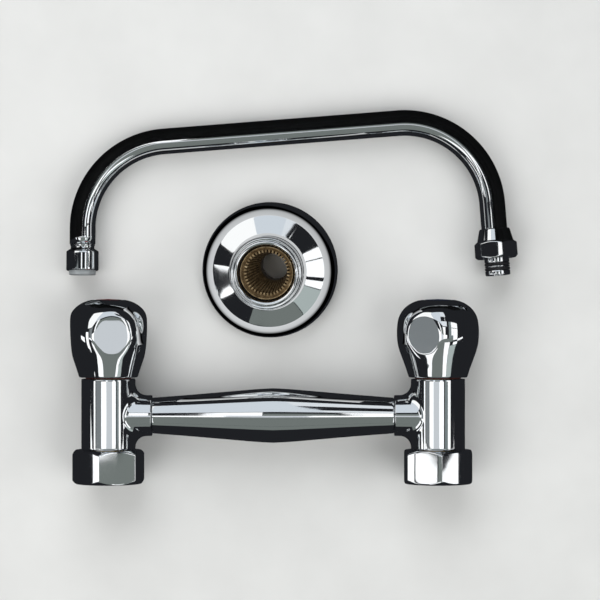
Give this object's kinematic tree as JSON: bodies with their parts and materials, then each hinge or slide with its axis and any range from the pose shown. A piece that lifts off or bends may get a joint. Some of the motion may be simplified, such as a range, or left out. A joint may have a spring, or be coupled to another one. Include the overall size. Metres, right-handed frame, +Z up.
{
  "type": "wall mixer tap",
  "caption": "Chrome two-handle wall mixer laid out in pieces: a bridge body with lever-free domed handles and union nuts, a swivel swan-neck spout, and a wall flange over an offset union.",
  "frame": {"origin": "centre of the laid-out set on the surface it lies on", "axes": "+Z up from the surface, +X along the bridge from the hot column to the cold column, +Y along the columns from the union nuts to the handles"},
  "size_m": [0.2806, 0.2312, 0.051],
  "materials": {
    "chrome_plate": "polished chrome plate on brass",
    "bare_brass": "turned and cast brass, unplated and dulled",
    "epdm_rubber": "moulded black EPDM",
    "red_fibre": "pressed fibre sealing washer",
    "stainless_steel": "turned stainless steel",
    "slip_plastic": "white slip ring plastic",
    "acetal": "moulded grey acetal",
    "hot_index": "moulded red index cap",
    "cold_index": "moulded blue index cap"
  },
  "bodies": {
    "mixer_body": {"bridge_bar": "chrome_plate", "bridge_seal_left": "epdm_rubber", "bridge_seal_right": "epdm_rubber", "valve_column_left": "chrome_plate", "union_tail_left": "bare_brass", "union_washer_left": "red_fibre", "headwork_washer_left": "red_fibre", "headwork_body_left": "bare_brass", "spindle_seal_left": "epdm_rubber", "gland_nut_left": "bare_brass", "valve_column_right": "chrome_plate", "union_tail_right": "bare_brass", "union_washer_right": "red_fibre", "headwork_washer_right": "red_fibre", "headwork_body_right": "bare_brass", "spindle_seal_right": "epdm_rubber", "gland_nut_right": "bare_brass"},
    "handle_left": {"handle_left": "chrome_plate", "handle_screw_left": "stainless_steel", "index_cap_left": "hot_index", "spindle_left": "bare_brass"},
    "valve_left": {"valve_piston_left": "bare_brass", "seat_washer_left": "epdm_rubber"},
    "union_nut_left": {"union_nut_left": "chrome_plate"},
    "handle_right": {"handle_right": "chrome_plate", "handle_screw_right": "stainless_steel", "index_cap_right": "cold_index", "spindle_right": "bare_brass"},
    "valve_right": {"valve_piston_right": "bare_brass", "seat_washer_right": "epdm_rubber"},
    "union_nut_right": {"union_nut_right": "chrome_plate"},
    "spout_nut": {"spout_nut": "chrome_plate"},
    "spout": {"spout_tube": "chrome_plate", "spout_tail": "bare_brass", "spout_o_ring_lower": "epdm_rubber", "spout_o_ring_upper": "epdm_rubber", "spout_slip_ring": "slip_plastic", "aerator_housing": "chrome_plate", "aerator_washer": "epdm_rubber", "aerator_insert": "acetal"},
    "eccentric_union": {"eccentric_union": "bare_brass"},
    "wall_flange": {"wall_flange": "chrome_plate"}
  },
  "joints": [
    {"name": "handle_left_turn", "type": "hinge", "parent": "mixer_body", "child": "handle_left", "pos_m": [-0.11303, -0.02573, 0.0255], "axis": [0, 1, 0], "range_deg": [0, 900]},
    {"name": "valve_left_lift", "type": "slide", "parent": "mixer_body", "child": "valve_left", "axis": [0, 1, 0], "range_m": [0, 0.006]},
    {"name": "union_nut_left_spin", "type": "hinge", "parent": "mixer_body", "child": "union_nut_left", "pos_m": [-0.11303, -0.10473, 0.0255], "axis": [0, 1, 0], "continuous": true},
    {"name": "handle_right_turn", "type": "hinge", "parent": "mixer_body", "child": "handle_right", "pos_m": [0.09017, -0.02573, 0.0255], "axis": [0, 1, 0], "range_deg": [0, 900]},
    {"name": "valve_right_lift", "type": "slide", "parent": "mixer_body", "child": "valve_right", "axis": [0, 1, 0], "range_m": [0, 0.006]},
    {"name": "union_nut_right_spin", "type": "hinge", "parent": "mixer_body", "child": "union_nut_right", "pos_m": [0.09017, -0.10473, 0.0255], "axis": [0, 1, 0], "continuous": true},
    {"name": "spout_lift", "type": "slide", "parent": "mixer_body", "child": "spout_nut", "axis": [0, 0, 1], "range_m": [0, 0.12]},
    {"name": "spout_swivel", "type": "hinge", "parent": "spout_nut", "child": "spout", "pos_m": [0.12692, 0.02781, 0.01372], "axis": [-0.0767, 0.996, -0.0453], "range_deg": [0, 180]},
    {"name": "union_lift", "type": "slide", "parent": "mixer_body", "child": "eccentric_union", "axis": [0, 0, 1], "range_m": [0, 0.12]},
    {"name": "flange_slide", "type": "slide", "parent": "eccentric_union", "child": "wall_flange", "axis": [-0.0614, -0.0758, 0.9952], "range_m": [0, 0.02]}
  ],
  "couplings": [
    {"joint": "valve_left_lift", "follows": "handle_left_turn", "m_per_rad": 0.000381},
    {"joint": "valve_right_lift", "follows": "handle_right_turn", "m_per_rad": 0.000381}
  ]
}
